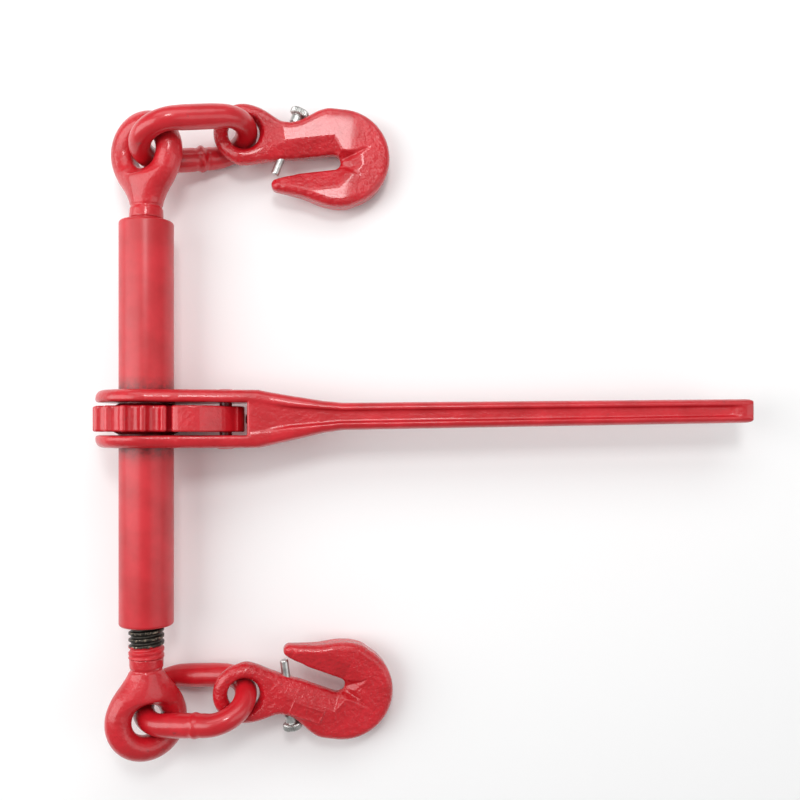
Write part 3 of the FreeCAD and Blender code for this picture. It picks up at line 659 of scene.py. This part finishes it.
# %% [markdown]
# ## Eye bolts
#
# Each eye is forged on the end of its screw: a round ring whose neck flares out of the shoulder.
# The ring and the neck are two fields melted together with a generous fillet. The hole keeps its
# size, because the link has to swing in it.

# %% Forge the eyes
EYE_RING = 17.9
EYE_WIRE = 8.2
NECK_RADIUS = 10.6
EYE_SINK = EYE_WIRE * 0.55
NECK_LENGTHS = {"upper": 19.5, "lower": 16.8}


def eye_field(x, y, z, rise):
    """An eye centred on the origin, its screw along -Y from a shoulder at -rise."""
    along = y + rise
    neck = np.hypot(x, z) - np.interp(along, [0, 9, 16, 24], [NECK_RADIUS, 10.2, 10.6, 10.0])
    neck = np.maximum(neck, np.maximum(-along, along - 25))
    flare = np.hypot(x * 0.86, z * 1.18) - np.interp(along, [4, 14, 24], [6, 10.2, 12.4])
    flare = np.maximum(flare, np.maximum(3 - along, along - 24))
    body = melt(melt(neck, flare, 3), ring_field(x, y, z, EYE_RING, EYE_WIRE), 9)
    hole = np.hypot(x, y) - (EYE_RING - EYE_WIRE)
    keep = np.maximum(hole, np.abs(z) - 30)
    crease = np.hypot(np.hypot(x, z) - 10.6, along - 7.5) - 0.9
    body = carve(body, keep, 1.5)
    return carve(meet(body, -along, 0.8), crease, 1.0)


eye_places = {}
eye_rises = {}
for end, screw_way in (("upper", -1), ("lower", 1)):
    rise = NECK_LENGTHS[end] + EYE_RING + EYE_SINK
    eye_rises[end] = rise
    eye_mesh = surface_net(
        lambda x, y, z: eye_field(x, y, z, rise), (-28, -rise - 2, -14), (28, 28, 14), 0.6
    )
    swing = joints[end + "_link_swing"]
    outward = Vector((0, -screw_way, 0))
    normal = Vector(swing["axis"])
    eye_places[end] = stand(swing["pos_m"], outward.cross(normal), normal)
    make_piece(
        end + "_eye", *eye_mesh, eye_places[end], end + "_eye_bolt", forged_enamel, "red_paint",
        [end + "_eye_bolt"],
    )
for end, place in eye_places.items():
    print(end, "eye centre", tuple(round(number, 4) for number in place.translation))

# %% [markdown]
# ## The screws
#
# The upper screw is right-handed and the lower one left-handed, so one turn of the barrel draws
# both in. A rolled thread has a round root and a slightly flattened crest. The surface is a tube
# whose radius depends on how far along the screw a point is, less its share of a turn: that makes
# a true helix. The thread's last turns fade out before the shoulder, where the enamel has run
# onto them.

# %% Finish of the screws
def thread_finish(name):
    """Red paint by the shoulder, then black oil with metal worn bare on the crests."""
    finish, tree, shader = new_finish(name)
    spot = add_node(tree, "ShaderNodeTexCoord").outputs["Object"]
    painted = add_node(tree, "ShaderNodeAttribute", attribute_name="painted").outputs["Fac"]
    crest = add_node(tree, "ShaderNodeAttribute", attribute_name="crest").outputs["Fac"]
    oil = blended(tree, noise(tree, spot, 0.0015, 4.0), (0.012, 0.011, 0.010), (0.075, 0.066, 0.055))
    worn = spread(tree, noise(tree, spot, 0.0022, 4.0), 0.50, 0.66)
    bare = times(tree, spread(tree, crest, 0.86, 1.0), worn)
    metal = blended(tree, bare, oil, (0.30, 0.245, 0.185))
    ragged = add_node(
        tree, "ShaderNodeMath", {0: painted, 1: noise(tree, spot, 0.0018, 4.0)}, operation="ADD"
    ).outputs[0]
    paint = spread(tree, ragged, 0.92, 1.06)
    red = blended(tree, spread(tree, noise(tree, spot, 0.004), 0.35, 0.65), DEEP_RED, BRIGHT_RED)
    tree.links.new(blended(tree, paint, metal, red), shader.inputs["Base Color"])
    metallic = add_node(tree, "ShaderNodeMapRange", {"Value": paint, "To Min": 0.85, "To Max": 0.0})
    tree.links.new(metallic.outputs["Result"], shader.inputs["Metallic"])
    shader.inputs["Roughness"].default_value = 0.36
    bump = add_node(
        tree, "ShaderNodeBump", {"Height": noise(tree, spot, 0.0009, 3.0), "Distance": 0.00008}
    )
    tree.links.new(bump.outputs["Normal"], shader.inputs["Normal"])
    return finish


oiled_thread = thread_finish("oiled_thread")

# %% [markdown]
# ## Rolling the threads
#
# A real screw is rolled between dies that press the grooves in and push the crests up. Blender's
# Screw modifier could wind a profile. A formula for the radius makes the same helix, and it also
# knows how high on the thread each corner is. That measure and the reach of the paint are kept on
# the mesh for the finish.

# %% Roll the threads
PITCH = 4.233
SCREW_RADIUS = 11.0
THREAD_DEPTH = 1.55
SCREW_LENGTH = 118.0
PAINTED_LENGTHS = {"upper": 6.0, "lower": 7.5}


def rolled_thread(hand, painted_length):
    """Corners, faces and the two paint measures of a screw along -Y from its shoulder."""
    around, rows_per_turn = 72, 14
    rows = int(SCREW_LENGTH / PITCH * rows_per_turn)
    angle = np.arange(around) * math.tau / around
    depth = np.linspace(0, SCREW_LENGTH, rows)[:, None]
    turn = depth / PITCH - hand * angle[None, :] / math.tau
    wave = 0.5 + 0.5 * np.cos(turn * math.tau)
    crest = ease(wave, 0.08, 0.80)
    fade = 1 - 0.75 * (1 - ease(depth, 1.5, painted_length + 1))
    radius = SCREW_RADIUS - THREAD_DEPTH * (1 - crest) * fade * ease(depth, 0.2, 1.4)
    radius = radius - 1.6 * ease(depth, SCREW_LENGTH - 1.5, SCREW_LENGTH)
    corners = np.stack([radius * np.sin(angle), -depth + 0 * radius, radius * np.cos(angle)], -1)
    faces = []
    for row in range(rows - 1):
        for spoke in range(around):
            following = (spoke + 1) % around
            low, high = row * around, (row + 1) * around
            faces.append((low + spoke, high + spoke, high + following, low + following))
    faces.append(tuple(range(around)))
    faces.append(tuple((rows - 1) * around + spoke for spoke in range(around))[::-1])
    painted = (1 - ease(depth, painted_length - 2.5, painted_length + 2.5)) + 0 * radius
    return corners.reshape(-1, 3), faces, painted.ravel(), crest.ravel()


for end, hand in (("upper", 1), ("lower", -1)):
    corners, faces, painted, crest = rolled_thread(hand, PAINTED_LENGTHS[end])
    shoulder = eye_places[end] @ Matrix.Translation((0, -eye_rises[end] * MM, 0))
    thread = make_piece(
        end + "_screw", corners, faces, shoulder, end + "_eye_bolt", oiled_thread, "screw_thread"
    )
    for name, amounts in (("painted", painted), ("crest", crest)):
        attribute = thread.data.attributes.new(name, "FLOAT", "POINT")
        attribute.data.foreach_set("value", amounts.astype(np.float32))

# %% [markdown]
# ## The links
#
# A chain link is a bar bent round and butt-welded in one of its arms. The weld leaves a raised
# bead with a rough flash. The centre line is two straights and two half circles, and a circle is
# carried along it. The radius swells in the middle of each arm and again at the weld. The place
# of each link comes from its own solid: its longest direction, turned to point at the hook, its
# next longest and its thinnest.

# %% Bend the links
LINK_WIRE = 7.0
LINK_LENGTH = 82.0
LINK_WIDTH = 53.5
ARM_SWELL = 0.7
WELD_OFFSET = 7.0
WELD_SIDE = 1


def main_directions(node):
    """The middle of a solid and its directions, longest first, from its corners."""
    points = np.array([vertex.co for vertex in frame["nodes"][node].data.vertices])
    middle = points.mean(0)
    _, _, directions = np.linalg.svd(points - middle, full_matrices=False)
    spans = (points - middle) @ directions.T
    centre = middle + directions.T @ ((spans.min(0) + spans.max(0)) / 2)
    print(node, "spans mm", np.round((spans.max(0) - spans.min(0)) / MM, 1))
    return Vector(centre), [Vector(direction) for direction in directions]


def bent_link(bead_height):
    """Corners and faces of an oval link in the XY plane, long along X, its weld on one side."""
    half_straight = (LINK_LENGTH - LINK_WIDTH) / 2
    bend_radius = LINK_WIDTH / 2 - LINK_WIRE
    bend_length = math.pi * bend_radius
    whole = 2 * bend_length + 4 * half_straight
    stations, around = 260, 36
    corners = []
    for station in range(stations):
        run = station / stations * whole
        side = 1 if run < whole / 2 else -1
        run_here = run % (whole / 2)
        if run_here < 2 * half_straight:
            centre = Vector((side * (run_here - half_straight), -side * bend_radius, 0))
            outward = Vector((0, -side, 0))
            from_weld = run_here - half_straight - WELD_OFFSET if side == WELD_SIDE else 99
            from_middle = abs(run_here - half_straight)
        else:
            turn = (run_here - 2 * half_straight) / bend_radius
            outward = Vector((side * math.sin(turn), -side * math.cos(turn), 0))
            centre = Vector((side * half_straight, 0, 0)) + outward * bend_radius
            from_weld = 99
            from_middle = half_straight + min(run_here - 2 * half_straight, whole / 2 - run_here)
        arm = ARM_SWELL * (1 - ease(from_middle, 6, half_straight + 9))
        bead = bead_height * math.exp(-((from_weld / 1.3) ** 2))
        bead -= bead_height * 0.35 * math.exp(-(((abs(from_weld) - 3.4) / 1.2) ** 2))
        for spoke in range(around):
            angle = spoke * math.tau / around
            ragged = 1 + 0.35 * math.sin(angle * 3 + 1) + 0.2 * math.sin(angle * 7)
            radius = LINK_WIRE - 0.05 + arm + (bead * ragged if bead > 0 else bead)
            way = outward * math.cos(angle) + Vector((0, 0, 1)) * math.sin(angle)
            corners.append(centre + way * radius)
    faces = []
    for station in range(stations):
        for spoke in range(around):
            following = (spoke + 1) % around
            low, high = station * around, (station + 1) % stations * around
            faces.append((low + spoke, high + spoke, high + following, low + following))
    return np.array(corners), faces


for end, bead_height in (("upper", 1.0), ("lower", 0.45)):
    centre, directions = main_directions(end + "_link")
    to_hook, normal = directions[0], directions[2]
    to_hook = to_hook if to_hook.x > 0 else -to_hook
    normal = normal if normal.z > 0 else -normal
    link_place = stand(centre, to_hook, normal)
    make_piece(
        end + "_oval", *bent_link(bead_height), link_place, end + "_link", link_enamel, "red_paint",
        [end + "_link"],
    )

# %% [markdown]
# ## The grab hooks
#
# A grab hook holds a chain link edge-on in a narrow slot. Seen from above it is a shank, a round
# bowl and a horn that comes back along the slot. Its faces are not flat: the metal slopes down to
# the slot on both sides from a ridge, and sharp valleys run out from the slot's end where the die
# was deepest. So the hook is a plate whose thickness changes from place to place, melted into a
# round eye. The same forging is used at both ends, turned over at one of them.

# %% Hook sizes
HOOK_RING = 14.5
HOOK_WIRE = 4.8
HOOK_HALF = 8.5
ROOT_HALF = 5.6
BOWL_CENTRE = (60.3, 23.0)
BOWL_RADIUS = 31.0
SLOT_SIDE = 25.0
SLOT_HALF = 4.8
SLOT_END = 59.2
SHANK = [
    (-9, 16.5), (-3, 20.4), (64, 20.4), (66, 4), (58, -7.8), (51, -7.6), (44.3, -5.2), (36.5, -3.2),
    (30.5, -2.9), (24.5, -4.3), (19.8, -8.7), (16, -12.0), (10, -15), (0, -12), (-10, 0),
]
HORN = [
    (17, 40), (23, 42.2), (32.1, 45.4), (42.7, 50.9), (52, 53.8), (62, 53.9), (66, 40), (64, 29.6),
    (40, 29.6), (26, 29.8), (21, 30.3), (17, 31.6),
]
HORN_TIP = (17.0, 35.7)
HORN_TIP_RADIUS = 4.2
PANEL_CENTRE = (41.0, 3.8)
PANEL_HALF = (10.6, 4.4)


# %% [markdown]
# ## From outlines to a hook
#
# The bowl is a circle and the shank and horn are two outlines, melted into it. The half thickness
# is a formula of the place in the plane, so the ridges and the star of valleys at the slot's end
# need no mesh work. The slot and the eye are cut last, so that their rims are rounded all the way
# through.

# %% Forge the hooks
def valley(x, y, angle, length, half_width, depth):
    """How deep a sharp valley that runs out from the slot's end is at a point."""
    from_x, from_y = x - (SLOT_END - 1), y - SLOT_SIDE
    out = from_x * math.cos(angle) + from_y * math.sin(angle)
    aside = np.abs(from_y * math.cos(angle) - from_x * math.sin(angle))
    left = np.clip(1 - out / length, 0, 1) * (out > -2)
    return depth * left**0.7 * np.clip(1 - aside / (half_width * left + 0.01), 0, 1)


def hook_half_thickness(x, y):
    """Half the hook's thickness at a point of its outline."""
    root = ROOT_HALF + (HOOK_HALF - ROOT_HALF) * ease(x, 6, 27)
    horn = HOOK_HALF - 2.6 * (1 - ease(x, 12, 42))
    full = np.where(y > SLOT_SIDE, horn, root)
    shank_slope = 3.9 + 0.44 * np.maximum(SLOT_SIDE - SLOT_HALF - y, 0)
    shank_slope = shank_slope + 1.1 * np.maximum(x - SLOT_END + 2.1, 0)
    shank_slope = shank_slope + 0.9 * np.maximum(y - SLOT_SIDE, 0)
    horn_slope = 3.6 + 0.38 * np.maximum(y - SLOT_SIDE - SLOT_HALF, 0)
    horn_slope = horn_slope + 0.30 * np.maximum(x - SLOT_END + 3.6, 0)
    horn_slope = horn_slope + 0.9 * np.maximum(SLOT_SIDE - 2 - y, 0)
    half = melt(melt(full, shank_slope, 0.5), horn_slope, 0.5)
    cuts = np.maximum(valley(x, y, 0.80, 17, 5.5, 2.6), valley(x, y, -0.26, 22, 4.5, 2.4))
    return half - cuts


def with_panel(metal, x, y, z):
    """A blank raised panel with a rim, where a forging carries its size."""
    along, across = np.abs(x - PANEL_CENTRE[0]), np.abs(y - PANEL_CENTRE[1])
    outline = np.maximum(along - PANEL_HALF[0], across - PANEL_HALF[1])
    rim = np.maximum(outline, -outline - 1.0)
    panel = melt(slab(outline, z - HOOK_HALF, 0.22, 0.2), slab(rim, z - HOOK_HALF, 0.55, 0.4), 0.3)
    return melt(metal, np.maximum(panel, HOOK_HALF - 2 - z), 0.5)


def hook_field(x, y, z):
    """The hook with its eye on the origin, its slot along X and its horn on the +Y side."""
    bowl = np.hypot(x - BOWL_CENTRE[0], y - BOWL_CENTRE[1]) - BOWL_RADIUS
    outline = melt(bowl, flat_outline(x, y, corners_cut(SHANK)), 7)
    tip = np.hypot(x - HORN_TIP[0], y - HORN_TIP[1]) - HORN_TIP_RADIUS
    horn = melt(flat_outline(x, y, corners_cut(HORN)), tip, 2)
    outline = melt(outline, horn, 5)
    depth = np.abs(z)
    half = hook_half_thickness(x, y)
    metal = slab(outline, depth, half, np.minimum(4.6, half * 0.75))
    slot = np.abs(y - SLOT_SIDE) - SLOT_HALF
    slot_round = np.hypot(x - SLOT_END + SLOT_HALF, y - SLOT_SIDE) - SLOT_HALF
    slot = np.where(x > SLOT_END - SLOT_HALF, slot_round, slot)
    metal = carve(metal, slot, 2.4)
    eye_hole = np.hypot(x, y) - (HOOK_RING - 1.5)
    metal = carve(metal, eye_hole, 2)
    metal = melt(metal, ring_field(x, y, z, HOOK_RING, HOOK_WIRE), 3.5)
    metal = carve(metal, np.hypot(x, y) - (HOOK_RING - HOOK_WIRE), 1.0)
    return with_panel(metal, x, y, z)


hook_mesh = surface_net(hook_field, (-22, -22, -11), (94, 58, 11), 0.6)
hook_places = {}
for end in ("upper", "lower"):
    swing = joints[end + "_hook_swing"]
    slot_way = -Vector(mounts[end + "_hook_slot"]["axis"])
    hook_places[end] = stand(swing["pos_m"], slot_way, swing["axis"])
    make_piece(
        end + "_grab", *hook_mesh, hook_places[end], end + "_hook", hook_enamel, "red_paint",
        [end + "_hook"],
    )

# %% [markdown]
# ## Throat locks
#
# A spring pushes a zinc-plated pin across the hook's throat so that the chain can't slip out. A
# knob with a coarse straight knurl pulls it back. Pin and knob are turned, and the knurl is a
# ripple in the knob's radius that fades at its two rims.

# %% Turn the lock pins and knobs
KNURL_TEETH = 26
KNURL_DEPTH = 0.8
LOCK_PIN_RADIUS = 2.7
KNOB_RADIUS = 6.0
NECK_OF_KNOB = 3.4


def knurled(radius, height, angle):
    """The knob's radius with a ripple on its widest part."""
    share = ease(radius, 4.6, 5.7)
    ripple = np.abs(((angle * KNURL_TEETH / math.tau) % 1) * 2 - 1)
    return radius - KNURL_DEPTH * ripple * share


for end in ("upper", "lower"):
    low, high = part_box(end + "_lock_pin")
    points = np.array([vertex.co for vertex in frame["nodes"][end + "_lock_pin"].data.vertices])
    axis = -Vector(joints[end + "_lock_pull"]["axis"])
    heights = points @ np.array(axis)
    middle = Vector((low + high) / 2)
    pin_length = (heights.max() - heights.min()) / MM
    foot = middle + axis * (heights.min() - middle.dot(axis))
    lock_place = stand(foot, hook_places[end].to_3x3() @ Vector((0, 0, 1)), axis)
    knob_points = np.array([vertex.co for vertex in frame["nodes"][end + "_lock_knob"].data.vertices])
    knob_heights = knob_points @ np.array(axis) - heights.min()
    knob_foot, knob_top = knob_heights.min() / MM, knob_heights.max() / MM
    pin_profile = softened(
        [
            (0.01, 0.1), (LOCK_PIN_RADIUS, 0.1), (LOCK_PIN_RADIUS, pin_length - 0.7),
            (LOCK_PIN_RADIUS - 0.4, pin_length), (0.01, pin_length),
        ],
        0.4,
    )
    make_piece(
        end + "_pin", *spun(pin_profile, 40), lock_place, end + "_lock", zinc, "zinc_plate",
        [end + "_lock_pin"],
    )
    knob_profile = softened(
        [
            (0.01, knob_foot), (NECK_OF_KNOB, knob_foot), (NECK_OF_KNOB + 0.4, knob_foot + 0.4),
            (KNOB_RADIUS - 0.8, knob_foot + 0.5), (KNOB_RADIUS, knob_foot + 1.2),
            (KNOB_RADIUS, knob_top - 1.6), (KNOB_RADIUS - 0.8, knob_top - 0.9),
            (NECK_OF_KNOB + 0.2, knob_top - 0.8), (NECK_OF_KNOB, knob_top), (0.01, knob_top),
        ],
        0.35,
    )
    make_piece(
        end + "_knob", *spun(knob_profile, 240, knurled), lock_place, end + "_lock", zinc,
        "zinc_plate", [end + "_lock_knob"],
    )
    print(end, "pin length", round(pin_length, 1), "knob", round(knob_foot, 1), round(knob_top, 1))

# %% [markdown]
# ## The pieces inside
#
# The bushes, the stop washers, their screws, the springs and the detent plunger keep their solids
# from the frame, because those already have the right shape. They only need the right metal.

# %% Finish the pieces that stay
kept_finishes = {
    "upper_end_bush": bush_steel, "lower_end_bush": bush_steel, "gear_welds": forged_enamel,
    "detent_plunger": plain_steel, "detent_spring": spring_steel,
}
for end in ("upper", "lower"):
    kept_finishes[end + "_stop_washer"] = plain_steel
    kept_finishes[end + "_end_screw"] = plain_steel
    kept_finishes[end + "_lock_bush"] = zinc
    kept_finishes[end + "_lock_spring"] = spring_steel
for node, finish in kept_finishes.items():
    mesh = frame["nodes"][node].data
    mesh.materials.clear()
    mesh.materials.append(finish)
print("kept", len(kept_finishes), "solids")

# %% [markdown]
# ## The floor
#
# The binder lies on a plain white floor. Three large soft lights and a pale sky keep the shadows
# soft, and the one on the left is the strongest, so that round pieces have a long highlight on
# that side. A small light above the far end shines off the flat faces and shows the orange peel.

# %% Lay the floor
floor_mesh = bpy.data.meshes.new("floor")
FLOOR_HALF = 3.0
corner_signs = ((-1, -1), (1, -1), (1, 1), (-1, 1))
floor_corners = [(across * FLOOR_HALF, along * FLOOR_HALF, 0) for across, along in corner_signs]
floor_mesh.from_pydata(floor_corners, [], [(0, 1, 2, 3)])
floor = bpy.data.objects.new("floor", floor_mesh)
bpy.context.scene.collection.objects.link(floor)
paper, _, paper_shader = new_finish("white_paper")
paper_shader.inputs["Base Color"].default_value = (0.93, 0.93, 0.93, 1)
paper_shader.inputs["Roughness"].default_value = 0.9
floor_mesh.materials.append(paper)


# %% [markdown]
# ## The lights
#
# Enamel looks best under wide white boxes of light, whose shapes show as long soft shines. An area
# light is such a box. Their sizes matter more than their power: a wide box gives a soft shine on
# round pieces, and a small one picks out each pebble of the paint. A plain white world fills the
# shadows.

# %% Hang the lights
def softbox(name, place, target, width, height, power):
    """A large even light that faces a point."""
    light = bpy.data.lights.new(name, "AREA")
    light.shape = "RECTANGLE"
    light.size, light.size_y = width, height
    light.energy = power
    lamp = bpy.data.objects.new(name, light)
    lamp.location = place
    lamp.rotation_euler = (Vector(target) - Vector(place)).to_track_quat("-Z", "Y").to_euler()
    bpy.context.scene.collection.objects.link(lamp)
    return lamp


softbox("left_box", (-0.95, 0.10, 0.75), (-0.1, 0, 0), 0.7, 1.4, 10.0)
softbox("far_box", (0.0, 1.0, 0.95), (0, 0.05, 0), 1.5, 0.6, 6)
softbox("key_box", (0.02, 0.50, 1.15), (0, 0.1, 0), 0.24, 0.24, 3.6)
softbox("right_box", (1.0, -0.2, 0.8), (0, 0, 0), 0.7, 1.2, 3.5)
world = bpy.data.worlds.new("studio")
bpy.context.scene.world = world
world.use_nodes = True
world.node_tree.nodes["Background"].inputs["Color"].default_value = (1, 1, 1, 1)
world.node_tree.nodes["Background"].inputs["Strength"].default_value = 0.32
bpy.context.scene.view_settings.view_transform = "Standard"

# %% [markdown]
# ## The camera
#
# The camera hangs over the handle and looks straight down, so that the hooks at both ends are
# seen from above. Its place is counted from the barrel's centre. A shift of the lens slides the
# view without tilting it.

# %% Set up the camera
CAMERA_ASIDE = Vector((0.1597, -0.0081, 0.592))
camera_data = bpy.data.cameras.new("camera")
camera_data.lens = 42.3
camera_data.shift_y = 0.04
camera = bpy.data.objects.new("camera", camera_data)
camera.location = binder_centre + CAMERA_ASIDE
bpy.context.scene.collection.objects.link(camera)
bpy.context.scene.camera = camera
